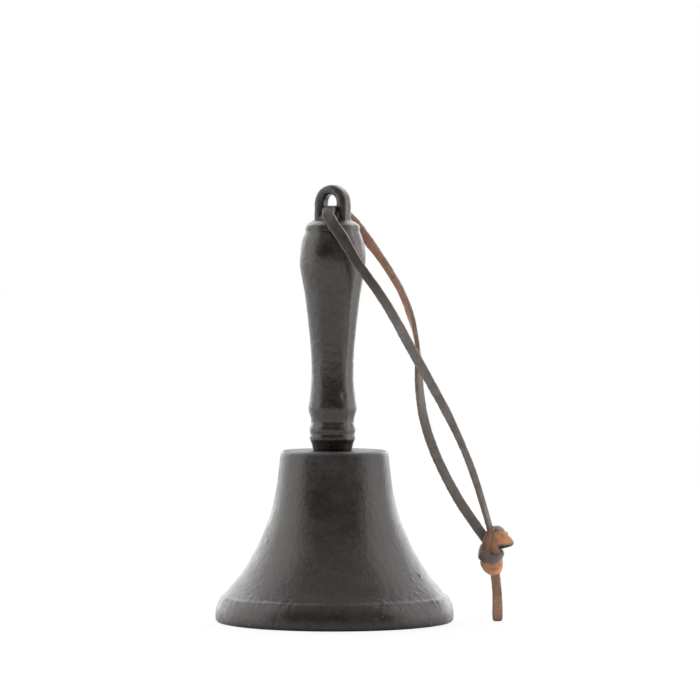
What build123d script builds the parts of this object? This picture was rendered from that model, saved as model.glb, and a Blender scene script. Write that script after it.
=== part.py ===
from build123d import *

import os
from math import cos, radians, sin, sqrt, tan

# Cast-iron hand bell: a flared bell bolted under a turned handle, a hung clapper and a leather thong.
# Millimetres, +Z up. The origin is on the bell's axis, in the plane of the mouth that it stands on.
# The handle's eye is pierced along Y, so the flat of the eye lies in the XZ plane. The mould's halves
# met in that plane, so the handle is filed flat on its +X and -X sides. The clapper's main swing is
# in the same plane.

# Bell casting, from the mouth upwards
mouth_radius = 42.9
bell_height = 61.7
wall = 3.8
crown_thickness = 4.5
shoulder_radius = 19.4
shoulder_round = 1.5
crown_inner_round = 3.0
flank_lean = 6.0  # degrees that the upper flank leans outwards
flank_length = 9.0  # height of the straight flank, from the crown down to the flare
lip_height = 9.7
lip_step = 2.9  # the flare ends this far inside the mouth radius
lip_ledge = 0.8  # small ledge where the flare meets the lip band
lip_ledge_drop = 0.5
lip_bulge = 0.7  # how far the band's side crowns out
lip_thickness = 5.0
rim_round = 1.4
rim_inner_round = 1.0

# Handle casting: radii, and rises above its foot
foot_radius = 6.9
bead_foot = (7.65, 2.9)
lower_groove = (7.95, 6.0)
upper_groove = (7.75, 9.6)
bead_bulges = (0.45, 0.45)
swell_foot = (8.0, 12.3)
swell = (8.65, 14.5)
swell_top = (8.45, 17.6)
waist = (7.55, 27.5)
grip = (8.75, 45.8)
palm = (10.35, 58.5)
belly = (11.9, 69.0)
shoulder = (11.6, 73.2)
neck = (9.7, 78.9)
collar_radius = 9.85
collar_round = 0.5
collar_thickness = 2.0
dome_radius = 7.2
dome_rise = 1.4
ground_depth = 0.2  # filed flat on both sides, where the mould's halves left their fin

# Eye on top of the handle
eye_width = 13.7
eye_height = 12.9  # above the dome
eye_thickness = 5.4
eye_edge_round = 1.6
eye_hole_width = 5.6
eye_hole_height = 6.8
eye_hole_round = 1.7
eye_top_wall = 3.5
eye_root = 2.5  # how far the eye runs down into the dome

# Stud and its fasteners, an M5 thread
stud_radius = 2.5
thread_fit = 0.02  # radial, between the stud and what is tapped
stud_hole_clearance = 0.3  # radial, in the crown and the washers
stud_reach = 16.0  # engaged in the handle
tapped_spare = 1.5
stud_chamfer = 0.5
washer_radius = 5.0
washer_thickness = 1.0
lock_washer_radius = 4.4
lock_washer_thickness = 1.3
lock_washer_slit = 0.8
nut_across_flats = 8.0
nut_thickness = 4.0
nut_chamfer = 0.45
eye_gap_below_nut = 0.8
stud_eye_wire = 1.4  # radius
stud_eye_hole = 2.4  # radius

# Clapper
hang_gap = 0.15  # between linked rings
link_wire = 1.0  # radius
link_hole = 3.1  # radius
rod_radius = 1.2
rod_eye_hole = 2.2  # radius
rod_eye_opening = 30.0  # degrees, from the wire's end to the stem
rod_collar_radius = 1.9
rod_collar_height = 1.0
ball_radius = 9.5
ball_flat_radius = 2.6  # spot faces at the ball's two poles
ball_clearance = 2.5  # under the whole ball when the bell stands
ball_fit = 0.02  # radial, the rod in the drilled ball
rivet_radius = 2.1
rivet_height = 0.8

# Leather thong, a flat strip doubled through the eye and knotted. A plain tube stands for the strip.
thong_width = 3.6
thong_thickness = 1.8
thong_tube = 1.25  # radius
thong_heading = 34.0  # degrees from +X towards +Y to the hanging knot
thong_route = [
    (48.0, 31.6, 29.6),
    (45.5, 29.0, 43.6),
    (41.6, 24.9, 60.0),
    (35.9, 18.9, 77.2),
    (28.8, 11.0, 95.8),
    (21.0, 1.9, 115.6),
    (15.7, -5.6, 128.2),
    (12.5, -9.2, 135.0),
    (8.9, -11.1, 140.3),
    (4.7, -11.3, 143.9),
    (1.7, -9.0, 147.2),
    (0, -4.8, 148.6),
    (0, 4.8, 148.6),
    (0.9, 9.8, 147.0),
    (2.8, 13.8, 143.2),
    (5.5, 16.9, 137.2),
    (10.1, 19.9, 129.2),
    (16.5, 23.2, 116.4),
    (21.1, 24.6, 99.5),
    (22.6, 23.6, 82.0),
    (26.9, 24.2, 65.0),
    (35.3, 27.2, 46.2),
    (44.4, 31.6, 29.2),
]
bend_share = 0.45  # of the shorter run, taken by each bend
knot_reach = 57.2  # from the bell's axis
knot_bottom = 17.2
knot_height = 15.6
knot_radius = 4.5
knot_round = 2.4
knot_end_reach = 8.0  # short cut end, from the knot's middle
knot_end_rise = 7.6  # its lower edge above the knot's bottom
knot_end_height = 5.0
tail_offset = 2.0  # beyond the knot's middle
tail_round = 0.6

# Heights that follow from the sizes above
crown_underside = bell_height - crown_thickness
washer_bottom = crown_underside - washer_thickness
lock_washer_bottom = washer_bottom - lock_washer_thickness
nut_bottom = lock_washer_bottom - nut_thickness
stud_eye_ring = stud_eye_hole + stud_eye_wire
stud_shank_end = nut_bottom - eye_gap_below_nut - stud_eye_wire
stud_eye_centre = stud_shank_end - stud_eye_ring
link_ring = link_hole + link_wire
link_top = stud_eye_centre - stud_eye_hole + hang_gap + link_wire
link_centre = link_top - link_ring
rod_eye_ring = rod_eye_hole + rod_radius
rod_eye_top = link_centre - link_hole + hang_gap + rod_radius
rod_eye_centre = rod_eye_top - rod_eye_ring
stem_top = rod_eye_centre - rod_eye_ring
ball_centre = ball_clearance + ball_radius
ball_half_height = sqrt(ball_radius**2 - ball_flat_radius**2)
collar_rise = neck[1] + collar_round
dome_base = bell_height + collar_rise + collar_thickness
dome_top = dome_base + dome_rise
eye_top = dome_top + eye_height
eye_bend_centre = eye_top - eye_width / 2
eye_hole_top = eye_top - eye_top_wall

hang_plane = Plane.XY.rotated((0, 0, thong_heading))
face_slack = 0.01  # an edge this near a face counts as lying on it

os.makedirs("parts", exist_ok=True)


def save(built, name):
    """Labels a finished piece and writes it."""
    built.part.label = name
    export_step(built.part, f"parts/{name}.step")


def bored_disc(radius, bore, bottom, thickness):
    """A round washer blank in the current part, standing on a height."""
    with BuildSketch(Plane.XY.offset(bottom)) as disc:
        Circle(radius)
        Circle(bore, mode=Mode.SUBTRACT)
    extrude(disc.sketch, amount=thickness)


# Bell casting. The flare leaves the straight flank without a corner, and the cavity runs parallel to it.
lean = radians(flank_lean)
lean_down = (sin(lean), -cos(lean))
flare_top = Vector(shoulder_radius + flank_length * tan(lean), bell_height - flank_length)
flare_foot = Vector(mouth_radius - lip_step, lip_height)
flare_chord = flare_foot - flare_top
flare_outwards = Vector(cos(lean), sin(lean))
flare_radius = flare_chord.dot(flare_chord) / (2 * flare_chord.dot(flare_outwards))
flare_centre = flare_top + flare_outwards * flare_radius
cavity_growth = (flare_radius + wall) / flare_radius
cavity_top = flare_centre + (flare_top - flare_centre) * cavity_growth
cavity_foot = flare_centre + (flare_foot - flare_centre) * cavity_growth
cavity_crown_radius = cavity_top.X - (crown_underside - cavity_top.Y) * tan(lean)
cavity_mouth_radius = mouth_radius - lip_thickness
ledge = (flare_foot.X + lip_ledge, lip_height - lip_ledge_drop)

with BuildPart() as bell_body:
    with BuildSketch(Plane.XZ) as bell_section:
        with BuildLine():
            Polyline((0, bell_height), (shoulder_radius, bell_height), flare_top)
            TangentArc(flare_top, flare_foot, tangent=lean_down)
            Line(flare_foot, ledge)
            SagittaArc(ledge, (mouth_radius, rim_round), lip_bulge)
            CenterArc((mouth_radius - rim_round, rim_round), rim_round, 0, -90)
            Polyline((mouth_radius - rim_round, 0), (cavity_mouth_radius, 0), cavity_foot)
            TangentArc(cavity_top, cavity_foot, tangent=lean_down)
            Polyline(cavity_top, (cavity_crown_radius, crown_underside), (0, crown_underside))
            Line((0, crown_underside), (0, bell_height))
        make_face()
        corners = bell_section.vertices()
        fillet(corners.sort_by_distance((shoulder_radius, bell_height))[0], shoulder_round)
        fillet(corners.sort_by_distance((cavity_crown_radius, crown_underside))[0], crown_inner_round)
        fillet(corners.sort_by_distance((cavity_mouth_radius, 0))[0], rim_inner_round)
    revolve(axis=Axis.Z)
    with Locations((0, 0, bell_height)):
        Hole(stud_radius + stud_hole_clearance, depth=crown_thickness)
save(bell_body, "bell_body")


# Handle casting, with its eye
def handle_outline(extra):
    """Half the handle's outline in the XZ plane, foot to dome, every radius larger by extra."""

    def at(radius, rise):
        return (radius + extra, bell_height + rise)

    dome_rises = collar_rise + collar_thickness
    Polyline((0, bell_height), at(foot_radius, 0), at(*bead_foot))
    SagittaArc(at(*bead_foot), at(*lower_groove), -bead_bulges[0])
    SagittaArc(at(*lower_groove), at(*upper_groove), -bead_bulges[1])
    grip_line = (upper_groove, swell_foot, swell, swell_top, waist, grip, palm, belly, shoulder, neck)
    Spline(*[at(*point) for point in grip_line])
    Polyline(at(*neck), at(collar_radius, collar_rise), at(collar_radius, dome_rises - collar_round))
    Line(at(collar_radius, dome_rises - collar_round), at(collar_radius - collar_round, dome_rises))
    Line(at(collar_radius - collar_round, dome_rises), at(dome_radius, dome_rises + dome_rise))
    Polyline(at(dome_radius, dome_rises + dome_rise), (0, dome_top), (0, bell_height))


with BuildPart() as handle_eye:
    with BuildSketch(Plane.XZ):
        with Locations((0, eye_bend_centre)):
            Circle(eye_width / 2)
            Rectangle(eye_width, eye_bend_centre - dome_top + eye_root, align=(Align.CENTER, Align.MAX))
    extrude(amount=eye_thickness / 2, both=True)
    fillet(handle_eye.edges().filter_by(Axis.Y, reverse=True), eye_edge_round)
    with BuildSketch(Plane.XZ):
        with Locations((0, eye_hole_top - eye_hole_width / 2)):
            Circle(eye_hole_width / 2)
            Rectangle(eye_hole_width, eye_hole_height - eye_hole_width / 2, align=(Align.CENTER, Align.MAX))
    extrude(amount=eye_thickness, both=True, mode=Mode.SUBTRACT)
    hole_edges = handle_eye.edges().filter_by(
        lambda e: abs(abs(e.center().Y) - eye_thickness / 2) < face_slack
    )
    fillet(hole_edges.filter_by(lambda e: abs(e.center().X) < eye_hole_width * 0.6), eye_hole_round)

with BuildPart() as handle:
    with BuildSketch(Plane.XZ):
        with BuildLine():
            handle_outline(0)
        make_face()
    revolve(axis=Axis.Z)
    with BuildSketch(Plane.XZ):
        with BuildLine():
            handle_outline(-ground_depth)
        make_face()
        mirror(about=Plane.YZ)
    extrude(amount=belly[0] * 2, both=True, mode=Mode.INTERSECT)
    add(handle_eye.part)
    with Locations((0, 0, bell_height)):
        CounterSinkHole(
            stud_radius + thread_fit,
            stud_radius + thread_fit + stud_chamfer,
            depth=stud_reach + tapped_spare,
        )
save(handle, "handle")


# Eye stud: a threaded shank with a closed ring forged on its lower end
def ring_plane(height, facing, start):
    """Plane of a ring about the bell's axis: the way its hole faces and where its wire starts."""
    return Plane(origin=(0, 0, height), x_dir=start, z_dir=facing)


with BuildPart() as eye_stud:
    with BuildSketch(Plane.XY.offset(stud_shank_end)):
        Circle(stud_radius)
    extrude(amount=bell_height + stud_reach - stud_shank_end)
    chamfer(eye_stud.edges().filter_by(GeomType.CIRCLE), stud_chamfer)
    with Locations(ring_plane(stud_eye_centre, (0, 1, 0), (1, 0, 0))):
        Torus(stud_eye_ring, stud_eye_wire)
save(eye_stud, "eye_stud")


# Fasteners under the crown
with BuildPart() as crown_washer:
    bored_disc(washer_radius, stud_radius + stud_hole_clearance, washer_bottom, washer_thickness)
save(crown_washer, "crown_washer")

with BuildPart() as lock_washer:
    bored_disc(
        lock_washer_radius, stud_radius + stud_hole_clearance, lock_washer_bottom, lock_washer_thickness
    )
    with BuildSketch(Plane.XY.offset(lock_washer_bottom)):
        Rectangle(lock_washer_radius * 2, lock_washer_slit, align=(Align.MIN, Align.CENTER))
    extrude(amount=lock_washer_thickness, mode=Mode.SUBTRACT)
save(lock_washer, "lock_washer")

nut_corner_radius = nut_across_flats / sqrt(3)
with BuildPart() as crown_nut:
    with BuildSketch(Plane.XY.offset(nut_bottom)):
        RegularPolygon(nut_across_flats / 2, 6, major_radius=False)
    extrude(amount=nut_thickness)
    with BuildSketch(Plane.XZ) as nut_side:
        with Locations((0, nut_bottom)):
            Rectangle(nut_corner_radius, nut_thickness, align=(Align.MIN, Align.MIN))
        chamfer(nut_side.vertices().group_by(Axis.X)[-1], nut_chamfer)
    revolve(axis=Axis.Z, mode=Mode.INTERSECT)
    with Locations((0, 0, lock_washer_bottom)):
        Hole(stud_radius + thread_fit, depth=nut_thickness)
save(crown_nut, "crown_nut")


# Clapper: a closed link on the stud's ring, then a rod bent into an eye and riveted through its ball
with BuildPart() as clapper_link:
    with Locations(ring_plane(link_centre, (1, 0, 0), (0, 1, 0))):
        Torus(link_ring, link_wire)
save(clapper_link, "clapper_link")

ball_top_flat = ball_centre + ball_half_height
ball_bottom_flat = ball_centre - ball_half_height
with BuildPart() as clapper_rod:
    with Locations(ring_plane(rod_eye_centre, (0, -1, 0), (0, 0, -1))):
        Torus(rod_eye_ring, rod_radius, major_angle=360 - rod_eye_opening)
    with BuildSketch(Plane.XY.offset(ball_bottom_flat)):
        Circle(rod_radius)
    extrude(amount=stem_top - ball_bottom_flat)
    with BuildSketch(Plane.XY.offset(ball_top_flat)):
        Circle(rod_collar_radius)
    extrude(amount=rod_collar_height)
    with BuildSketch(Plane.XY.offset(ball_bottom_flat)):
        Circle(rivet_radius)
    extrude(amount=-rivet_height, taper=35)
save(clapper_rod, "clapper_rod")

with BuildPart() as clapper_ball:
    with Locations((0, 0, ball_centre)):
        Sphere(ball_radius)
        Box(ball_radius * 2, ball_radius * 2, ball_half_height * 2, mode=Mode.INTERSECT)
    with Locations((0, 0, ball_top_flat)):
        Hole(rod_radius + ball_fit, depth=ball_half_height * 2)
save(clapper_ball, "clapper_ball")


# Leather thong: from the knot up through the eye and back down to the knot
def bend_radii(points):
    """A radius for each corner of a route, as large as the shorter of its two runs allows."""
    radii = []
    for before, here, after in zip(points, points[1:], points[2:]):
        run_in = Vector(here) - Vector(before)
        run_out = Vector(after) - Vector(here)
        half_turn = radians(run_in.get_angle(run_out)) / 2
        radii.append(bend_share * min(run_in.length, run_out.length) / tan(half_turn))
    return radii


thong_bends = bend_radii(thong_route)
print("thong bend radii, mm:", [round(radius, 1) for radius in thong_bends])

with BuildPart() as thong_loop:
    with BuildLine() as thong_path:
        FilletPolyline(*thong_route, radius=thong_bends)
    with BuildSketch(Plane(origin=thong_path.line @ 0, z_dir=thong_path.line % 0)):
        Circle(thong_tube)
    sweep()
print("thong loop, mm:", round(sum(edge.length for edge in thong_path.edges()), 1))
save(thong_loop, "thong_loop")

with BuildPart() as thong_knot:
    with BuildSketch(hang_plane.offset(knot_bottom)):
        with Locations((knot_reach, 0)):
            Circle(knot_radius)
    extrude(amount=knot_height)
    fillet(thong_knot.edges().filter_by(GeomType.CIRCLE), knot_round)
    with BuildSketch(hang_plane.offset(knot_bottom + knot_end_rise)):
        with Locations((knot_reach, 0)):
            Rectangle(knot_end_reach, thong_width, align=(Align.MIN, Align.CENTER))
    extrude(amount=knot_end_height)
save(thong_knot, "thong_knot")

with BuildPart() as thong_tail:
    with BuildSketch(hang_plane):
        with Locations((knot_reach + tail_offset, 0)):
            Rectangle(thong_width, thong_thickness)
    extrude(amount=knot_bottom + knot_round)
    fillet(thong_tail.edges().filter_by(Axis.Z), tail_round)
save(thong_tail, "thong_tail")
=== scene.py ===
import math

import bpy
import numpy as np
from mathutils import Matrix, Vector, noise


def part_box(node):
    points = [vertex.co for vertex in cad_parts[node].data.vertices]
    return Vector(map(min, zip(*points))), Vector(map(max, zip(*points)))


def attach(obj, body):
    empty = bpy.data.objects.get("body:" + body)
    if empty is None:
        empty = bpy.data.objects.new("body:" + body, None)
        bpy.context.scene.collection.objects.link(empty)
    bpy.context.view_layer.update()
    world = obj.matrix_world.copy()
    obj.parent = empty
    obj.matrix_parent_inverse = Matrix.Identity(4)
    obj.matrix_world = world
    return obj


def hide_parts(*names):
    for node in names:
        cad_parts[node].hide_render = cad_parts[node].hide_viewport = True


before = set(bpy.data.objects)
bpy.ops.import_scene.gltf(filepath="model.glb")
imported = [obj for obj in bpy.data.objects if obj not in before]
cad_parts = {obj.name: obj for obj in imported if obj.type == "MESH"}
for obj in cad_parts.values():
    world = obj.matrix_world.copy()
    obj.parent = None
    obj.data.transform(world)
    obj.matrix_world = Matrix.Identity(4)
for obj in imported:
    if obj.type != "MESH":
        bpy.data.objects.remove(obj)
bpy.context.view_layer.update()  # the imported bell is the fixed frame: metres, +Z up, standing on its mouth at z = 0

mm = 0.001
collection = bpy.context.scene.collection


# the bell is seen from 34 degrees right of its front, where the thong hangs in full view
view = {
    "turn": 34.0,
    "distance": 1.59,
    "eyeHeight": 0.143,
    "aimHeight": 0.0979,
    "aimRight": 0.0056,
    "lens": 227.0,
}

turn = math.radians(view["turn"])
rightward = Vector((math.cos(turn), math.sin(turn), 0))
backward = Vector((-math.sin(turn), math.cos(turn), 0))


def seen(right, back, height):
    # a place or a direction as the viewer has it: to the right, away from the viewer, and up
    return rightward * right + backward * back + Vector((0, 0, height))


cameraData = bpy.data.cameras.new("bellCamera")
cameraData.lens = view["lens"]
cameraData.sensor_width = 36
cameraData.clip_end = 50
camera = bpy.data.objects.new("bellCamera", cameraData)
collection.objects.link(camera)
camera.location = seen(view["aimRight"], -view["distance"], view["eyeHeight"])
aim = seen(view["aimRight"], 0, view["aimHeight"]) - camera.location
camera.rotation_euler = aim.to_track_quat("-Z", "Y").to_euler()
bpy.context.scene.camera = camera
bpy.context.scene.view_settings.view_transform = "Standard"
print("camera placed")


# building blocks shared by the pieces
def addPiece(name, points, faces, smooth=True):
    mesh = bpy.data.meshes.new(name)
    mesh.from_pydata([tuple(p) for p in points], [], faces)
    mesh.validate()
    if smooth:
        mesh.shade_smooth()
    piece = bpy.data.objects.new(name, mesh)
    collection.objects.link(piece)
    return piece


def tube(rings, aroundCount):
    # faces of a skin through rings of points, closed by one face at each end
    faces = []
    for ring in range(rings - 1):
        for step in range(aroundCount):
            after = (step + 1) % aroundCount
            near, far = ring * aroundCount, (ring + 1) * aroundCount
            faces.append((near + step, near + after, far + after, far + step))
    faces.append(tuple(reversed(range(aroundCount))))
    last = (rings - 1) * aroundCount
    faces.append(tuple(range(last, last + aroundCount)))
    return faces


def smoothLine(route, detail):
    # the smooth line that a NURBS spline makes of a few points, given in millimetres
    data = bpy.data.curves.new("route", "CURVE")
    data.dimensions = "3D"
    data.resolution_u = detail
    spline = data.splines.new("NURBS")
    spline.points.add(len(route) - 1)
    for point, spot in zip(spline.points, route):
        point.co = (spot[0] * mm, spot[1] * mm, spot[2] * mm, 1)
    spline.order_u = 3
    spline.use_endpoint_u = True
    curve = bpy.data.objects.new("route", data)
    line = bpy.data.meshes.new_from_object(curve)
    points = [vertex.co.copy() for vertex in line.vertices]
    bpy.data.meshes.remove(line)
    bpy.data.objects.remove(curve)
    return points


def blendKeys(keys, at):
    # value between (position, value) keys, easing from one to the next
    if at <= keys[0][0]:
        return keys[0][1]
    for (before, first), (after, second) in zip(keys, keys[1:]):
        if at <= after:
            share = (at - before) / max(after - before, 1e-9)
            share = share * share * (3 - 2 * share)
            return first * (1 - share) + second * share
    return keys[-1][1]


def rough(point, size, seed=0.0):
    # smooth noise from about -1 to 1, with lumps of this size in metres
    return noise.noise(point / size + Vector((seed, seed * 1.7, seed * 0.6)))


# materials: node helpers
def newMaterial(name):
    material = bpy.data.materials.new(name)
    material.use_nodes = True
    nodes = material.node_tree.nodes
    nodes.clear()
    shader = nodes.new("ShaderNodeBsdfPrincipled")
    output = nodes.new("ShaderNodeOutputMaterial")
    material.node_tree.links.new(shader.outputs[0], output.inputs[0])
    return material, shader


def link(material, source, target):
    material.node_tree.links.new(source, target)


def place(material, stretch=(1, 1, 1)):
    # object coordinates, so the pattern has real sizes and stays on the piece
    nodes = material.node_tree.nodes
    coords = nodes.new("ShaderNodeTexCoord")
    mapping = nodes.new("ShaderNodeMapping")
    mapping.inputs["Scale"].default_value = stretch
    link(material, coords.outputs["Object"], mapping.inputs["Vector"])
    return mapping.outputs["Vector"]


def noiseNode(material, at, size, detail=4, roughness=0.55, distortion=0.0):
    node = material.node_tree.nodes.new("ShaderNodeTexNoise")
    node.inputs["Scale"].default_value = 1 / size
    node.inputs["Detail"].default_value = detail
    node.inputs["Roughness"].default_value = roughness
    node.inputs["Distortion"].default_value = distortion
    link(material, at, node.inputs["Vector"])
    return node.outputs["Fac"]


def cellNode(material, at, size):
    node = material.node_tree.nodes.new("ShaderNodeTexVoronoi")
    node.inputs["Scale"].default_value = 1 / size
    link(material, at, node.inputs["Vector"])
    return node.outputs["Distance"]


def ramp(material, source, low, high, toLow=0.0, toHigh=1.0):
    node = material.node_tree.nodes.new("ShaderNodeMapRange")
    node.interpolation_type = "SMOOTHSTEP"
    node.inputs["From Min"].default_value = low
    node.inputs["From Max"].default_value = high
    node.inputs["To Min"].default_value = toLow
    node.inputs["To Max"].default_value = toHigh
    link(material, source, node.inputs["Value"])
    return node.outputs["Result"]


def mixColour(material, share, first, second):
    # first and second are colours or another node's output; share is a number or an output
    node = material.node_tree.nodes.new("ShaderNodeMix")
    node.data_type = "RGBA"
    for value, socket in ((share, 0), (first, 6), (second, 7)):
        if isinstance(value, bpy.types.NodeSocket):
            link(material, value, node.inputs[socket])
        elif socket == 0:
            node.inputs[socket].default_value = value
        else:
            node.inputs[socket].default_value = (*value, 1)
    return node.outputs[2]


def sums(material, first, second, how="ADD"):
    node = material.node_tree.nodes.new("ShaderNodeMath")
    node.operation = how
    for index, value in enumerate((first, second)):
        if isinstance(value, bpy.types.NodeSocket):
            link(material, value, node.inputs[index])
        else:
            node.inputs[index].default_value = value
    return node.outputs[0]


def bump(material, height, distance, under=None):
    node = material.node_tree.nodes.new("ShaderNodeBump")
    node.inputs["Strength"].default_value = 1.0
    node.inputs["Distance"].default_value = distance
    link(material, height, node.inputs["Height"])
    if under is not None:
        link(material, under, node.inputs["Normal"])
    return node.outputs["Normal"]


def edges(material, low, high):
    # 1 on outward edges and high places, 0 elsewhere
    node = material.node_tree.nodes.new("ShaderNodeNewGeometry")
    return ramp(material, node.outputs["Pointiness"], low, high)


# cast iron with a rubbed-in dark wax
iron = {
    "dark": (0.012, 0.0102, 0.0090),
    "light": (0.026, 0.0222, 0.0202),
    "dust": (0.041, 0.0355, 0.0325),
    "rust": (0.11, 0.042, 0.024),
    "worn": (0.16, 0.145, 0.135),
    "filed": (0.105, 0.096, 0.090),
    "pit": (0.010, 0.009, 0.008),
    "patchSize": 0.009,
    "speckSize": 0.0042,
    "pitSpacing": 0.0021,
    "mottleSize": 0.0016,
    "grainSize": 0.00045,
    "pitDepth": 0.00016,
}


def castIron(name, gloss, wornFrom, wornTo, grainDepth, filedSides=False):
    # filedSides: the +X and -X sides were filed flat, so they are smoother and show more metal
    material, shader = newMaterial(name)
    at = place(material)
    patches = noiseNode(material, at, iron["patchSize"], 5, 0.6, 0.6)
    mottling = noiseNode(material, at, iron["mottleSize"], 4, 0.6)
    grain = noiseNode(material, at, iron["grainSize"], 3, 0.6)
    pits = cellNode(material, at, iron["pitSpacing"])
    colour = mixColour(material, ramp(material, patches, 0.35, 0.68), iron["dark"], iron["light"])
    colour = mixColour(material, ramp(material, mottling, 0.4, 0.75, 0, 0.55), colour, iron["dust"])
    specks = noiseNode(material, place(material, (1, 1, 0.7)), iron["speckSize"], 6, 0.7)
    colour = mixColour(material, ramp(material, specks, 0.66, 0.78, 0, 0.55), colour, iron["rust"])
    uneven = ramp(material, mottling, 0.3, 0.6, 0.45, 1)
    worn = sums(material, edges(material, wornFrom, wornTo), uneven, "MULTIPLY")
    colour = mixColour(material, sums(material, worn, 0.75, "MULTIPLY"), colour, iron["worn"])
    inPit = ramp(material, pits, 0.10, 0.24, 1, 0)
    scarce = ramp(material, noiseNode(material, at, 0.012, 2), 0.5, 0.62)
    inPit = sums(material, inPit, scarce, "MULTIPLY")
    colour = mixColour(material, sums(material, inPit, 0.75, "MULTIPLY"), colour, iron["pit"])
    sheen = ramp(material, patches, 0.3, 0.75, gloss - 0.05, gloss + 0.10)
    sheen = sums(material, sheen, sums(material, worn, 0.12, "MULTIPLY"), "SUBTRACT")
    facing = material.node_tree.nodes.new("ShaderNodeTexCoord")
    split = material.node_tree.nodes.new("ShaderNodeSeparateXYZ")
    link(material, facing.outputs["Normal"], split.inputs[0])
    upTurned = ramp(material, split.outputs["Z"], 0.80, 0.97)
    sheen = sums(material, sheen, sums(material, upTurned, 0.30, "MULTIPLY"))
    if filedSides:
        filed = ramp(material, sums(material, split.outputs["X"], 1, "ABSOLUTE"), 0.965, 0.988)
        colour = mixColour(material, sums(material, filed, 0.8, "MULTIPLY"), colour, iron["filed"])
        sheen = sums(material, sheen, sums(material, filed, 0.06, "MULTIPLY"), "SUBTRACT")
        link(material, sums(material, filed, 0.35, "MULTIPLY"), shader.inputs["Metallic"])
    link(material, colour, shader.inputs["Base Color"])
    link(material, sheen, shader.inputs["Roughness"])
    shader.inputs["Specular IOR Level"].default_value = 0.55
    shader.inputs["Specular Tint"].default_value = (1.0, 0.968, 0.955, 1)
    shader.inputs["Coat Weight"].default_value = 0.15
    shader.inputs["Coat Roughness"].default_value = 0.38
    fine = bump(material, grain, grainDepth)
    coarse = bump(material, mottling, grainDepth * 2.4, under=fine)
    holes = bump(material, sums(material, inPit, -1, "MULTIPLY"), iron["pitDepth"], under=coarse)
    link(material, holes, shader.inputs["Normal"])
    return material


# leather: one strip has a grain side with painted shade near the eye, a tan flesh side and cut edges
leather = {
    "grainDark": (0.125, 0.110, 0.100),
    "grainLight": (0.200, 0.180, 0.166),
    "paintedShadeNearEye": (0.020, 0.0135, 0.0125),  # painted shade: the grain side darker near the eye
    "flesh": (0.55, 0.300, 0.200),
    "fleshDark": (0.33, 0.175, 0.120),
    # painted shade: a darker copy of the flesh side for the knot's inner strands, where shade falls between them
    "shadedStrand": (0.36, 0.180, 0.110),
    "shadedStrandDark": (0.14, 0.062, 0.040),
    "dull": (0.43, 0.245, 0.165),
    "dullDark": (0.25, 0.140, 0.098),
    # painted light: a lighter, more orange copy of the flesh side for the knot's flap and cuff
    "bright": (0.70, 0.32, 0.155),
    "brightDark": (0.34, 0.135, 0.068),
    "cut": (0.30, 0.215, 0.170),
    "cutDark": (0.15, 0.105, 0.085),
    "creased": (0.20, 0.150, 0.125),
    "rubbed": (0.30, 0.215, 0.170),
    "paintedShadeFrom": 0.102,  # the painted shade fades in between these heights, in metres
    "paintedShadeFull": 0.128,
}


def leatherGrain():
    material, shader = newMaterial("grainWithPaintedShade")
    at = place(material)
    patches = noiseNode(material, at, 0.006, 4, 0.6)
    pores = cellNode(material, at, 0.00055)
    creases = noiseNode(material, at, 0.0009, 5, 0.65, 1.2)
    patchy = ramp(material, patches, 0.3, 0.72)
    colour = mixColour(material, patchy, leather["grainDark"], leather["grainLight"])
    creased = ramp(material, creases, 0.52, 0.75, 0, 0.35)
    colour = mixColour(material, creased, colour, leather["creased"])
    height = material.node_tree.nodes.new("ShaderNodeSeparateXYZ")
    link(material, at, height.inputs[0])
    # painted shade: the grain side is darkened in patches towards the eye, by height
    eyeShade = ramp(material, height.outputs["Z"], leather["paintedShadeFrom"], leather["paintedShadeFull"])
    eyeShade = sums(material, eyeShade, ramp(material, patches, 0.25, 0.6, 0.6, 1), "MULTIPLY")
    colour = mixColour(material, eyeShade, colour, leather["paintedShadeNearEye"])
    rubbed = edges(material, 0.55, 0.66)
    colour = mixColour(material, sums(material, rubbed, 0.25, "MULTIPLY"), colour, leather["rubbed"])
    link(material, colour, shader.inputs["Base Color"])
    link(material, ramp(material, creases, 0.3, 0.7, 0.40, 0.58), shader.inputs["Roughness"])
    shader.inputs["Specular IOR Level"].default_value = 0.5
    shader.inputs["Sheen Weight"].default_value = 0.08
    shape = bump(material, pores, 0.00006)
    shape = bump(material, creases, 0.00010, under=shape)
    link(material, shape, shader.inputs["Normal"])
    return material


def leatherFlesh(name, light, dark, fuzz):
    material, shader = newMaterial(name)
    at = place(material)
    patches = noiseNode(material, at, 0.0045, 5, 0.65, 0.8)
    fibres = noiseNode(material, at, 0.00040, 5, 0.7, 1.5)
    colour = mixColour(material, ramp(material, patches, 0.3, 0.7), dark, light)
    fibrous = ramp(material, fibres, 0.35, 0.7, 0, 0.45)
    colour = mixColour(material, fibrous, colour, [min(1, c * 1.35) for c in light])
    dirty = ramp(material, noiseNode(material, at, 0.0025, 3), 0.55, 0.75, 0, 0.45)
    colour = mixColour(material, dirty, colour, [c * 0.45 for c in dark])
    link(material, colour, shader.inputs["Base Color"])
    link(material, ramp(material, fibres, 0.3, 0.7, 0.72, 0.92), shader.inputs["Roughness"])
    shader.inputs["Specular IOR Level"].default_value = 0.25
    shader.inputs["Sheen Weight"].default_value = fuzz
    shader.inputs["Sheen Roughness"].default_value = 0.6
    shape = bump(material, fibres, 0.00022)
    link(material, shape, shader.inputs["Normal"])
    return material


grainSide = leatherGrain()
fleshSide = leatherFlesh("tanFlesh", leather["flesh"], leather["fleshDark"], 0.25)
# painted shade: a darker copy of the flesh side, used on the knot's inner strands
shadedStrandSide = leatherFlesh("shadedStrandFlesh", leather["shadedStrand"], leather["shadedStrandDark"], 0.2)
dullSide = leatherFlesh("dullFlesh", leather["dull"], leather["dullDark"], 0.2)
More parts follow.
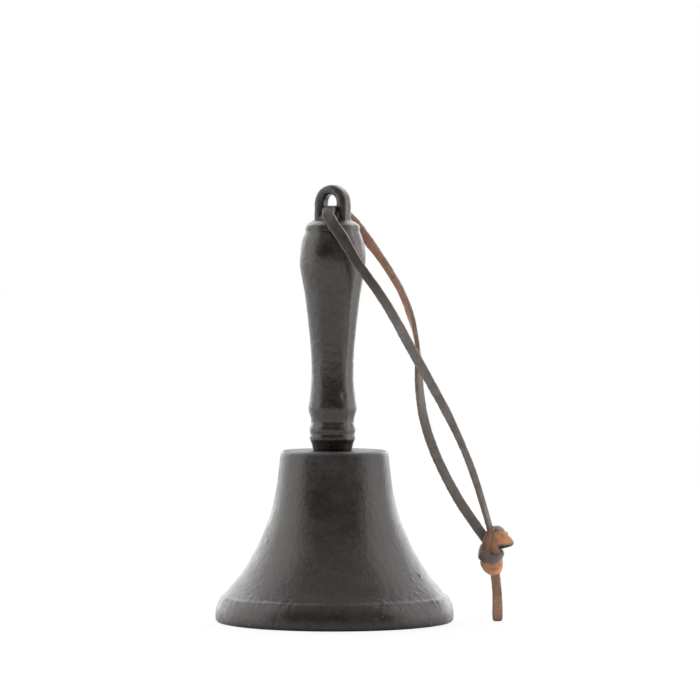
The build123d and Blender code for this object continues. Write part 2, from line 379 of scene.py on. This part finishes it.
# painted light: a lighter copy of the flesh side, used on the knot's flap and cuff
litFleshSide = leatherFlesh("litFlesh", leather["bright"], leather["brightDark"], 0.25)
cutEdge = leatherFlesh("cutEdge", leather["cut"], leather["cutDark"], 0.15)
print("leather ready")


# the thong: a flat strip through the eye, its two legs, the knot and the tail
thong = {
    "thickness": 1.7,
    "edgeWander": 0.10,  # how much the cut edges wander, in millimetres
    "endRound": 1.2,  # how far the tail's cut end is rounded, in millimetres
    "calmRun": 6.0,  # the legs start smooth, so that they meet in the eye
    "acrossCount": 9,  # points over the width of each side
    "detail": 30,
    "knotDetail": 14,
    "knotShift": -0.1,  # the whole knot, to the right, in millimetres
}

# listed points close to the part's own route, from the eye to the knot, in millimetres
frontRoute = [
    (0, 0, 148.5), (0.5, -4.3, 148.8), (2.1, -7.5, 147.2), (5.3, -9.5, 143.8),
    (9.0, -9.8, 140.0), (12.2, -8.9, 134.6), (15.3, -5.8, 127.6), (20.9, 2.0, 115.4),
    (28.1, 10.5, 95.6), (35.4, 18.5, 77.2), (41.1, 24.6, 60.0), (45.0, 28.6, 43.6),
    (47.8, 31.4, 29.6),
]
backRoute = [
    (0, 0, 148.5), (0, 4.8, 148.4), (0.1, 9.2, 145.8), (1.8, 13.1, 141.9),
    (4.6, 16.3, 136.2), (9.2, 19.3, 128.8), (15.8, 22.7, 116.4), (20.6, 24.2, 99.5),
    (21.3, 22.8, 82.0), (25.4, 23.2, 65.0), (33.8, 26.2, 47.0), (39.4, 29.0, 37.5),
    (45.3, 31.7, 28.6),
]


def along(line):
    # distance run at each point, as a share of the whole
    run = [0.0]
    for before, after in zip(line, line[1:]):
        run.append(run[-1] + (after - before).length)
    return [distance / run[-1] for distance in run], run[-1]


def section(acrossCount):
    # the strip's cut outline: grain side, right edge, flesh side, left edge;
    # 1 is half the width or half the thickness
    outline, sides = [], []
    for step in range(acrossCount):
        u = -0.90 + 1.80 * step / (acrossCount - 1)
        outline.append((u, 1 - 0.16 * u ** 4))
        sides.append(0)
    for u, v in ((0.985, 0.62), (1.0, 0.0), (0.985, -0.62)):
        outline.append((u, v))
        sides.append(1)
    for step in range(acrossCount):
        u = 0.90 - 1.80 * step / (acrossCount - 1)
        outline.append((u, -1 + 0.14 * u ** 4))
        sides.append(2)
    for u, v in ((-0.985, -0.62), (-1.0, 0.0), (-0.985, 0.62)):
        outline.append((u, v))
        sides.append(1)
    return outline, sides


def strip(
    name, line, grainKeys, widthKeys, thickKeys, seed,
    calmStart=False, roundEnd=False, cup=0.0, flesh=fleshSide,
):
    # along the strip, grainKeys say which way its grain side faces, widthKeys how wide it is and
    # thickKeys how thick; cup draws both edges back from the grain side, in millimetres
    shares, length = along(line)
    outline, sides = section(thong["acrossCount"])
    points = []
    for index, (centre, share) in enumerate(zip(line, shares)):
        before, after = line[max(index - 1, 0)], line[min(index + 1, len(line) - 1)]
        run = (after - before).normalized()
        facing = blendKeys(grainKeys, share)
        facing = (facing - run * facing.dot(run)).normalized()
        acrossWay = run.cross(facing).normalized()
        halfWide = blendKeys(widthKeys, share) * mm / 2
        halfThick = blendKeys(thickKeys, share) * mm / 2
        calm = min(share * length / (thong["calmRun"] * mm), 1) if calmStart else 1
        ease = 1.0
        left = (1 - share) * length / (thong["endRound"] * mm)
        if roundEnd and left < 1:
            ease = math.sqrt(max(1 - (1 - left) ** 2, 0.02)) * 0.35 + 0.65
        for (u, v), side in zip(outline, sides):
            spot = centre + acrossWay * (u * halfWide) + facing * (v * halfThick - cup * mm * u * u)
            wander = rough(spot, 0.004, seed) * thong["edgeWander"] * mm * calm
            nap = rough(spot, 0.0011, seed + 3) * (0.05 if side == 0 else 0.10) * mm * calm
            nap += rough(spot, 0.0006, seed + 5) * (0.0 if side == 0 else 0.07) * mm * calm
            out = acrossWay * u if side == 1 else facing * (1 if side == 0 else -1)
            points.append(
                centre
                + acrossWay * (u * halfWide * ease + (wander * u if abs(u) > 0.8 else 0))
                + facing * (v * halfThick * (0.8 + 0.2 * ease) - cup * mm * u * u)
                + out * nap
            )
    count = len(outline)
    piece = addPiece(name, points, tube(len(line), count))
    for material in (grainSide, cutEdge, flesh):
        piece.data.materials.append(material)
    # slots: 0 on the grain side, 1 on the cut edges and ends, 2 on the flesh side
    grainFaces = thong["acrossCount"] - 1
    for face in piece.data.polygons:
        if len(face.vertices) != 4:
            face.material_index = 1
            face.use_smooth = False
            continue
        step = min(face.vertices) % count
        if set(v % count for v in face.vertices) == {0, count - 1}:
            step = count - 1
        if step < grainFaces:
            face.material_index = 0
        elif grainFaces + 4 <= step < 2 * grainFaces + 4:
            face.material_index = 2
        else:
            face.material_index = 1
    return piece


def faceByHeight(line, keys):
    # turns (height in millimetres, facing) keys into (share along the line, facing) keys
    shares = along(line)[0]
    found = []
    for height, facing in keys:
        index = next((i for i, p in enumerate(line) if p.z <= height * mm + 1e-7), len(line) - 1)
        found.append((shares[index] if height < 148.6 else 0.0, facing))
    return found


frontLine = smoothLine(frontRoute, thong["detail"])
backLine = smoothLine(backRoute, thong["detail"])
upward = Vector((0, 0, 1))
frontFacing = faceByHeight(frontLine, [
    (148.6, upward), (147.6, seen(-0.35, -0.55, 0.8)), (144.5, seen(-0.40, -0.90, 0.25)),
    (132, seen(-0.20, -0.97, 0.05)), (66, seen(-0.15, -0.98, 0.0)), (52, seen(0.35, -0.93, 0.0)),
    (34, seen(0.75, -0.65, 0.0)),
])
backFacing = faceByHeight(backLine, [
    (148.6, upward), (147.6, seen(0.35, 0.55, 0.8)), (144.0, seen(0.30, 0.90, 0.25)),
    (132, seen(0.28, 0.96, 0.05)), (118, seen(0.55, 0.85, 0.0)), (102, seen(1.0, 0.05, 0.0)),
    (88, seen(0.75, -0.66, 0.0)), (73, seen(0.32, -0.95, 0.0)), (40, seen(0.20, -0.97, 0.1)),
])
frontWidth = [
    (0.0, 4.0), (0.06, 4.3), (0.12, 4.2), (0.22, 3.4),
    (0.45, 3.5), (0.62, 3.2), (0.76, 2.5), (1.0, 2.0),
]
backWidth = [(0.0, 4.0), (0.08, 3.8), (0.15, 3.4), (0.22, 2.7), (0.33, 2.4), (0.42, 3.2), (1.0, 3.5)]
legThick = [(0.0, 2.8), (0.02, 2.6), (0.05, 1.8), (0.08, thong["thickness"])]  # bunched up in the eye
frontLeg = strip("thongFrontLeg", frontLine, frontFacing, frontWidth, legThick, 1.3, calmStart=True)
backLeg = strip("thongBackLeg", backLine, backFacing, backWidth, legThick, 4.1, calmStart=True)
print("thong legs laid")


# the knot as the viewer has it: each route is (right, back, up) in millimetres
def knotStrip(name, route, facings, widths, seed, thickness, roundEnd=False, cup=0.0, flesh=fleshSide):
    shift = thong["knotShift"]
    spots = [tuple(seen(right + shift, back, height)) for right, back, height in route]
    keys = [(share, seen(*facing)) for share, facing in facings]
    line = smoothLine(spots, thong["knotDetail"])
    return strip(name, line, keys, widths, [(0, thickness)], seed, roundEnd=roundEnd, cup=cup, flesh=flesh)


knotCore = knotStrip(
    "knotCore",
    [(56.0, 0.8, 32.4), (56.8, 0.6, 29.6), (57.3, 0.4, 26.0), (57.5, 0.3, 22.0), (57.9, 0.3, 18.2)],
    [(0, (0.1, 1, 0)), (1, (0.1, 1, 0))],
    [(0, 3.6), (0.3, 6.4), (0.6, 6.6), (1, 4.4)], 11.0, 4.4, cup=-0.5, flesh=shadedStrandSide,
)
knotArch = knotStrip(
    "knotArch",
    [
        (55.6, 0.4, 31.2), (57.0, 0.2, 33.0), (59.2, 0.2, 33.6),
        (61.2, 0.8, 31.8), (61.4, 1.6, 29.2), (59.6, 2.6, 27.0),
    ],
    [(0, (-0.5, -0.5, 0.7)), (0.35, (-0.1, -0.5, 1)), (0.7, (0.9, -0.35, 0.45)), (1, (0.8, 0.6, -0.2))],
    [(0, 3.2), (0.4, 4.4), (1, 3.4)], 12.0, 1.6, cup=0.5,
)
knotFlap = knotStrip(
    "knotFlap",
    [
        (56.8, -1.4, 28.2), (58.3, -3.2, 30.0), (60.3, -3.9, 30.6), (62.3, -3.4, 30.1), (63.8, -2.3, 29.2),
        (63.8, -1.25, 28.6), (62.8, -0.7, 28.1), (61.2, -0.6, 27.7), (59.8, -0.4, 27.4),
    ],
    [
        (0, (0.1, 0.95, -0.2)), (0.3, (-0.15, 0.95, -0.25)), (0.45, (-0.55, 0.80, -0.25)),
        (0.56, (-0.95, 0.1, -0.2)), (0.7, (-0.3, -0.9, 0.2)), (1, (0.1, -0.95, 0.2)),
    ],
    [(0, 3.6), (0.2, 5.2), (0.45, 5.3), (0.56, 3.6), (0.7, 2.8), (1, 2.8)],
    13.0, 1.4, cup=-0.6, flesh=litFleshSide,
)
knotSlant = knotStrip(
    "knotSlant",
    [(57.0, -0.6, 34.0), (56.0, -2.3, 31.8), (54.9, -3.3, 29.3), (54.5, -3.3, 26.6), (55.6, -2.4, 23.8)],
    [(0, (0.3, 0.9, -0.4)), (0.5, (0.5, 0.85, 0)), (1, (0.3, 0.95, 0))],
    [(0, 2.4), (0.4, 3.4), (1, 3.4)], 14.0, 1.6, cup=-0.45, flesh=shadedStrandSide,
)
knotInner = knotStrip(
    "knotInner",
    [(59.6, -0.8, 32.8), (58.3, -2.8, 31.0), (57.2, -3.9, 28.4), (57.4, -3.7, 25.8), (59.2, -2.2, 23.2)],
    [(0, (0.2, 0.9, -0.4)), (0.5, (0.1, 1, 0)), (1, (0.2, 0.95, 0))],
    [(0, 2.6), (0.5, 3.1), (1, 3.0)], 15.0, 1.6, cup=-0.5, flesh=shadedStrandSide,
)
knotBand = knotStrip(
    "knotBand",
    [
        (58.4, 3.8, 25.0), (54.8, 3.4, 25.6), (52.8, 0.9, 25.6), (52.8, -2.4, 24.4), (55.9, -4.7, 22.6),
        (59.0, -4.3, 22.9), (60.6, -1.8, 24.3), (60.6, 1.4, 25.0), (59.0, 3.6, 25.0),
    ],
    [
        (0, (-0.2, 1, 0)), (0.22, (-1, 0.4, 0.1)), (0.4, (-0.8, -0.7, 0.15)), (0.55, (-0.1, -1, 0.2)),
        (0.72, (0.8, -0.7, 0.1)), (0.85, (1, 0.2, 0)), (1, (0.6, 0.9, 0)),
    ],
    [(0, 3.8), (0.25, 5.0), (0.42, 4.4), (0.55, 3.6), (0.72, 2.4), (1, 2.4)], 16.0, 1.6, cup=0.55,
)
knotCuff = knotStrip(
    "knotCuff",
    [
        (58.6, 3.2, 21.6), (55.2, 2.8, 21.4), (53.4, 0.4, 20.9), (54.2, -2.6, 19.8), (57.0, -4.2, 18.8),
        (59.2, -3.6, 19.4), (60.2, -0.8, 21.2), (59.8, 2.4, 22.4), (57.6, 3.6, 22.2),
    ],
    [
        (0, (0.2, -1, 0)), (0.22, (1, -0.4, 0.3)), (0.4, (0.8, 0.7, 0.45)), (0.55, (0, 1, 0.35)),
        (0.72, (-0.8, 0.7, 0.1)), (0.85, (-1, -0.2, 0)), (1, (-0.6, -0.9, 0)),
    ],
    [(0, 3.2), (0.3, 4.2), (0.5, 4.8), (0.7, 4.4), (1, 3.2)], 17.0, 1.7, cup=-0.6, flesh=litFleshSide,
)
tail = knotStrip(
    "thongTail",
    [(57.6, -0.4, 20.0), (58.2, -0.8, 16.4), (58.7, -0.6, 11.5), (58.95, -0.4, 6.0), (58.95, -0.4, 0.05)],
    [(0, (0.1, 0.99, 0)), (1, (-0.05, 1, 0))],
    [(0, 3.4), (0.3, 3.4), (0.8, 3.7), (1, 3.7)], 18.0, 1.7, roundEnd=True, flesh=dullSide,
)
knotPieces = [knotCore, knotArch, knotFlap, knotSlant, knotInner, knotBand, knotCuff]
for piece in [frontLeg, backLeg, tail, *knotPieces]:
    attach(piece, "thong")
for leg in (frontLeg, backLeg):
    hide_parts("thong_loop")
for piece in knotPieces:
    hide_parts("thong_knot")
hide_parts("thong_tail")
print("leg lengths", [round(along(line)[1], 4) for line in (frontLine, backLine)])
print("thong knotted")


# the bell casting
ironBell = castIron("waxedBellIron", 0.32, 0.53, 0.62, 0.00004)
bell = {
    "around": 420,
    "outerRows": 150,
    "innerRows": 56,
    "shoulderRound": 1.5,
    "lean": 6.0,
    "flareTop": (20.346, 52.7),
    "flareFoot": (40.0, 9.7),
    "ledge": (40.8, 9.2),
    "rimRound": 1.4,
    "bandBulge": 0.7,
    "wall": 3.8,
    "crownUnderside": 57.2,
    "innerCorner": 3.0,
    "mouthInside": 37.9,
    "stemHole": 2.8,
    "lumps": 0.10,  # the cast skin's relief, in millimetres
    "pebbles": 0.040,
    "grit": 0.022,
}
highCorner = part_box("bell_body")[1]
mouthRadius = highCorner.x / mm
bellHeight = highCorner.z / mm


def arc(centre, radius, first, last, count):
    # points of an arc in the outline's plane, angles in degrees
    steps = [math.radians(first + (last - first) * i / count) for i in range(count + 1)]
    return [(centre[0] + radius * math.cos(a), centre[1] + radius * math.sin(a)) for a in steps]


def evenly(points, count):
    # the same outline with its points spread evenly
    run = [0.0]
    for before, after in zip(points, points[1:]):
        run.append(run[-1] + math.dist(before, after))
    spread = np.linspace(0, run[-1], count)
    across = np.interp(spread, run, [p[0] for p in points])
    upwards = np.interp(spread, run, [p[1] for p in points])
    return list(zip(across, upwards))


def flareArc(offset):
    # the flare, or the cavity's wall parallel to it, with the straight flank's lean where it starts
    lean = math.radians(bell["lean"])
    top, foot = Vector(bell["flareTop"]), Vector(bell["flareFoot"])
    chord = foot - top
    outwards = Vector((math.cos(lean), math.sin(lean)))
    radius = chord.dot(chord) / (2 * chord.dot(outwards))
    centre = top + outwards * radius
    startAngle = 180 + bell["lean"]
    toFoot = foot - centre
    endAngle = 360 + math.degrees(math.atan2(toFoot.y, toFoot.x))
    return arc(centre, radius + offset, startAngle, endAngle, 60)


def bellOutline():
    lean = math.radians(bell["lean"])
    shoulder = bell["shoulderRound"]
    flareRadius, flareHeight = bell["flareTop"]
    roundZ = bellHeight - shoulder
    roundX = flareRadius + (-shoulder - (roundZ - flareHeight) * math.sin(lean)) / math.cos(lean)
    outer = [(bell["stemHole"], bellHeight)]
    outer += arc((roundX, roundZ), shoulder, 90, bell["lean"], 10)
    outer += flareArc(0)
    foot, ledge = bell["flareFoot"], bell["ledge"]
    outer += [foot, ledge]
    rimTop = (mouthRadius, bell["rimRound"])
    for step in range(1, 20):
        share = step / 20
        swell = bell["bandBulge"] * 4 * share * (1 - share)
        across = Vector((rimTop[0] - ledge[0], rimTop[1] - ledge[1]))
        out = Vector((-across.y, across.x)).normalized()
        spot = Vector(ledge) + across * share + out * swell
        outer.append((spot.x, spot.y))
    outer += arc((mouthRadius - bell["rimRound"], bell["rimRound"]), bell["rimRound"], 0, -90, 8)
    wall = flareArc(bell["wall"])
    crownReach = wall[0][0] - (bell["crownUnderside"] - wall[0][1]) * math.tan(lean)
    inner = [(bell["mouthInside"] + 1, 0.0)]
    inner += arc((bell["mouthInside"] + 1, 1.0), 1.0, -90, -180, 6)
    inner += [tuple(p) for p in reversed(wall)]
    corner = bell["innerCorner"]
    inner += arc((crownReach - corner - 0.1, bell["crownUnderside"] - corner), corner, 6, 90, 10)
    inner += [(bell["stemHole"], bell["crownUnderside"])]
    return outer, inner


def bellSkin(spot, radial, angle, height, onOuter):
    # how far the sand left the iron proud, in millimetres
    lumps = rough(spot, 0.011, 2.0) * bell["lumps"]
    low = 1 - min(max((height - 8) / 40, 0), 1)
    streak = Vector((math.cos(angle) * radial * 1.1, math.sin(angle) * radial * 1.1, height * 0.8)) * mm
    pebbles = rough(streak, 0.0013, 5.0) * bell["pebbles"] * (0.55 + 0.75 * low)
    pebbles += rough(spot, 0.0026, 9.0) * bell["pebbles"] * (0.5 + 0.5 * low)
    grit = rough(spot, 0.0008, 7.0) * bell["grit"]
    skin = lumps + pebbles + grit
    if onOuter and 7.8 < height < 11.2:
        skin += rough(spot, 0.0019, 13.0) * 0.13
    hollow = rough(spot, 0.0030, 21.0)
    if hollow > 0.64:
        skin -= (hollow - 0.64) * 1.3 * (0.2 + low)
    return skin if onOuter else skin * 0.8


def makeBell():
    outerShape, innerShape = bellOutline()
    outer = evenly(outerShape, bell["outerRows"])
    inner = evenly(innerShape, bell["innerRows"])
    rows = outer + inner
    points = []
    for index, (radius, height) in enumerate(rows):
        before, after = rows[index - 1], rows[(index + 1) % len(rows)]
        slope = Vector((after[0] - before[0], after[1] - before[1])).normalized()
        outX, outZ = -slope.y, slope.x
        onOuter = index < len(outer)
        quiet = min(abs(radius - bell["stemHole"]) / 3, 1) * min(1, 0.15 + height / 1.5)
        for step in range(bell["around"]):
            angle = 2 * math.pi * step / bell["around"]
            flat = Vector((math.cos(angle), math.sin(angle), 0))
            spot = flat * (radius * mm) + Vector((0, 0, height * mm))
            skin = bellSkin(spot, radius, angle, height, onOuter) * quiet * mm
            points.append(spot + flat * (-outX * skin) + Vector((0, 0, -outZ * skin)))
    faces = []
    count = bell["around"]
    for row in range(len(rows)):
        nextRow = (row + 1) % len(rows)
        here, there = row * count, nextRow * count
        for step in range(count):
            after = (step + 1) % count
            faces.append((here + step, there + step, there + after, here + after))
    return addPiece("bellCasting", points, faces)


bellPiece = makeBell()
bellPiece.data.materials.append(ironBell)
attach(bellPiece, "bell")
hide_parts("bell_body")
print("bell cast", len(bellPiece.data.polygons))


# the handle casting
ironHandle = castIron("waxedHandleIron", 0.265, 0.56, 0.66, 0.00004, True)
handleSizes = {
    "voxel": 0.34,
    "soften": 7,
    "aside": -0.7,  # the casting sits a little off the bell's axis
    "lumps": 0.10,
    "pebbles": 0.06,
    "grit": 0.03,
}


def remeshed(node, name, voxel, soften):
    # a copy of a CAD node with an even skin of small faces, its corners eased as a casting's are
    piece = bpy.data.objects.new(name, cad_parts[node].data.copy())
    collection.objects.link(piece)
    skin = piece.modifiers.new("evenSkin", "REMESH")
    skin.mode = "VOXEL"
    skin.voxel_size = voxel * mm
    ease = piece.modifiers.new("ease", "SMOOTH")
    ease.factor = 0.5
    ease.iterations = soften
    bpy.context.view_layer.update()
    made = bpy.data.meshes.new_from_object(piece.evaluated_get(bpy.context.evaluated_depsgraph_get()))
    piece.modifiers.clear()
    piece.data = made
    made.materials.clear()
    made.shade_smooth()
    return piece


def roughen(piece, skinAt):
    # moves each point along its normal by skinAt(point), in millimetres
    mesh = piece.data
    normals = [Vector(n.vector) for n in mesh.vertex_normals]
    moved = []
    for vertex, normal in zip(mesh.vertices, normals):
        moved.append(vertex.co + normal * (skinAt(vertex.co, normal) * mm))
    mesh.vertices.foreach_set("co", np.array(moved, dtype=np.float32).ravel())
    mesh.update()


def handleSkin(spot, normal):
    lumps = rough(spot, 0.010, 31.0) * handleSizes["lumps"]
    pebbles = rough(spot, 0.0022, 33.0) * handleSizes["pebbles"]
    grit = rough(spot, 0.0009, 35.0) * handleSizes["grit"]
    hollow = rough(spot, 0.0030, 37.0)
    pit = (hollow - 0.66) * 0.9 if hollow > 0.66 else 0
    filed = min(max((abs(normal.x) - 0.965) / 0.02, 0), 1)
    return (lumps + pebbles + grit - pit) * (1 - 0.75 * filed)


handlePiece = remeshed("handle", "handleCasting", handleSizes["voxel"], handleSizes["soften"])
roughen(handlePiece, handleSkin)
handlePiece.data.transform(Matrix.Translation(seen(handleSizes["aside"], 0, 0) * mm))
handlePiece.data.materials.append(ironHandle)
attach(handlePiece, "bell")
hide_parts("handle")
print("handle cast", len(handlePiece.data.polygons))


# clapper ball
ironBall = castIron("strikerIron", 0.40, 0.52, 0.60, 0.00006)
ballSizes = {
    "voxel": 0.26,
    "soften": 3,
    "lumps": 0.08,
    "pebbles": 0.06,
    "grit": 0.03,
}
ballPiece = remeshed("clapper_ball", "strikerBall", ballSizes["voxel"], ballSizes["soften"])


def ballSkin(spot, normal):
    lumps = rough(spot, 0.006, 41.0) * ballSizes["lumps"]
    pebbles = rough(spot, 0.0018, 43.0) * ballSizes["pebbles"]
    grit = rough(spot, 0.0008, 45.0) * ballSizes["grit"]
    return lumps + pebbles + grit


roughen(ballPiece, ballSkin)
ballPiece.data.materials.append(ironBall)
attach(ballPiece, "clapper")
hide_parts("clapper_ball")
print("ball cast", len(ballPiece.data.polygons))


# steel hardware keeps its CAD shapes
hardware = {
    "rust": (0.16, 0.075, 0.04),
    "brightEdge": (0.62, 0.60, 0.57),
    "stud": (0.34, 0.33, 0.315),
    "zinc": (0.46, 0.45, 0.43),
    "wire": (0.24, 0.225, 0.21),
}


def steel(name, colour, roughness, tarnish, scratchSize):
    material, shader = newMaterial(name)
    at = place(material)
    patches = noiseNode(material, at, 0.0022, 4, 0.6)
    scratches = noiseNode(material, place(material, (1, 1, 0.12)), scratchSize, 3, 0.6)
    dulled = ramp(material, patches, 0.35, 0.7, 0, tarnish)
    base = mixColour(material, dulled, colour, [c * 0.35 for c in colour])
    scratched = ramp(material, scratches, 0.55, 0.7, 0, 0.4)
    base = mixColour(material, scratched, base, [min(1, c * 1.5) for c in colour])
    rusty = ramp(material, noiseNode(material, at, 0.0014, 5, 0.7), 0.62, 0.74, 0, 0.5)
    base = mixColour(material, rusty, base, hardware["rust"])
    rubbed = sums(material, edges(material, 0.52, 0.6), 0.5, "MULTIPLY")
    base = mixColour(material, rubbed, base, hardware["brightEdge"])
    link(material, base, shader.inputs["Base Color"])
    shader.inputs["Metallic"].default_value = 1.0
    sheen = ramp(material, patches, 0.3, 0.7, roughness - 0.08, roughness + 0.12)
    link(material, sheen, shader.inputs["Roughness"])
    shape = bump(material, scratches, 0.00003)
    shape = bump(material, patches, 0.00006, under=shape)
    link(material, shape, shader.inputs["Normal"])
    return material


studSteel = steel("dullSteel", hardware["stud"], 0.42, 0.55, 0.0003)
zincSteel = steel("dullZinc", hardware["zinc"], 0.38, 0.40, 0.0004)
wireSteel = steel("darkWire", hardware["wire"], 0.40, 0.60, 0.0003)
for node, material in (
    ("eye_stud", studSteel), ("crown_washer", zincSteel), ("lock_washer", zincSteel),
    ("crown_nut", zincSteel), ("clapper_link", wireSteel), ("clapper_rod", wireSteel),
):
    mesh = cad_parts[node].data
    mesh.materials.clear()
    mesh.materials.append(material)
print("hardware finished")


# floor, lights and surroundings
studio = {
    "floorHalf": 6.0,
    "floorWhite": 0.86,
    "floorGlow": 0.86,  # how much of the floor's own light the viewer sees
    "sideAway": 1.15,
    "sideHeight": 0.55,
    "sideStrength": 6.9,
    "sideWide": 1.0,
    "sideTall": 1.2,
    "backWhite": 2.6,
    "frontDark": 0.12,
    "ceiling": 0.55,
}
half = studio["floorHalf"]
floorCorners = [(-half, -half, 0), (half, -half, 0), (half, half, 0), (-half, half, 0)]
floor = addPiece("paleFloor", floorCorners, [(0, 1, 2, 3)], False)
floorPaint, floorShader = newMaterial("palePaint")
floorShader.inputs["Base Color"].default_value = (*[studio["floorWhite"]] * 3, 1)
floorShader.inputs["Roughness"].default_value = 0.9
nodes = floorPaint.node_tree.nodes
glow = nodes.new("ShaderNodeEmission")
glow.inputs["Strength"].default_value = 1.0
rays = nodes.new("ShaderNodeLightPath")
share = sums(floorPaint, rays.outputs["Is Camera Ray"], studio["floorGlow"], "MULTIPLY")
floorMix = nodes.new("ShaderNodeMixShader")
link(floorPaint, share, floorMix.inputs[0])
link(floorPaint, floorShader.outputs[0], floorMix.inputs[1])
link(floorPaint, glow.outputs[0], floorMix.inputs[2])
link(floorPaint, floorMix.outputs[0], nodes["Material Output"].inputs[0])
floor.data.materials.append(floorPaint)


def softLight(name, away):
    data = bpy.data.lights.new(name, "AREA")
    data.shape = "RECTANGLE"
    data.size, data.size_y = studio["sideWide"], studio["sideTall"]
    data.energy = studio["sideStrength"]
    light = bpy.data.objects.new(name, data)
    light.location = seen(away, -0.10, studio["sideHeight"])
    middle = Vector((0, 0, 0.09))
    light.rotation_euler = (middle - light.location).to_track_quat("-Z", "Y").to_euler()
    collection.objects.link(light)


softLight("leftSoftbox", -studio["sideAway"])
softLight("rightSoftbox", studio["sideAway"])

world = bpy.data.worlds.new("studioRoom")
bpy.context.scene.world = world
world.use_nodes = True
room = world.node_tree
room.nodes.clear()


def roomRamp(source, low, high, toLow, toHigh):
    node = room.nodes.new("ShaderNodeMapRange")
    node.interpolation_type = "SMOOTHSTEP"
    node.inputs["From Min"].default_value = low
    node.inputs["From Max"].default_value = high
    node.inputs["To Min"].default_value = toLow
    node.inputs["To Max"].default_value = toHigh
    room.links.new(source, node.inputs["Value"])
    return node.outputs["Result"]


# white behind the bell, dark on the viewer's side, a soft glow overhead; plain white where seen directly
where = room.nodes.new("ShaderNodeTexCoord")
toward = room.nodes.new("ShaderNodeVectorMath")
toward.operation = "DOT_PRODUCT"
toward.inputs[1].default_value = tuple(backward)
room.links.new(where.outputs["Generated"], toward.inputs[0])
fade = roomRamp(toward.outputs["Value"], 0.15, 0.65, studio["frontDark"], studio["backWhite"])
split = room.nodes.new("ShaderNodeSeparateXYZ")
room.links.new(where.outputs["Generated"], split.inputs[0])
above = roomRamp(split.outputs["Z"], 0.35, 0.95, 0, studio["ceiling"])
whole = room.nodes.new("ShaderNodeMath")
room.links.new(fade, whole.inputs[0])
room.links.new(above, whole.inputs[1])
rays = room.nodes.new("ShaderNodeLightPath")
pick = room.nodes.new("ShaderNodeMix")
pick.inputs[3].default_value = 1.0
room.links.new(rays.outputs["Is Camera Ray"], pick.inputs[0])
room.links.new(whole.outputs[0], pick.inputs[2])
sky = room.nodes.new("ShaderNodeBackground")
sky.inputs["Color"].default_value = (1, 1, 1, 1)
room.links.new(pick.outputs[0], sky.inputs["Strength"])
roomOut = room.nodes.new("ShaderNodeOutputWorld")
room.links.new(sky.outputs[0], roomOut.inputs[0])
print("studio lit")
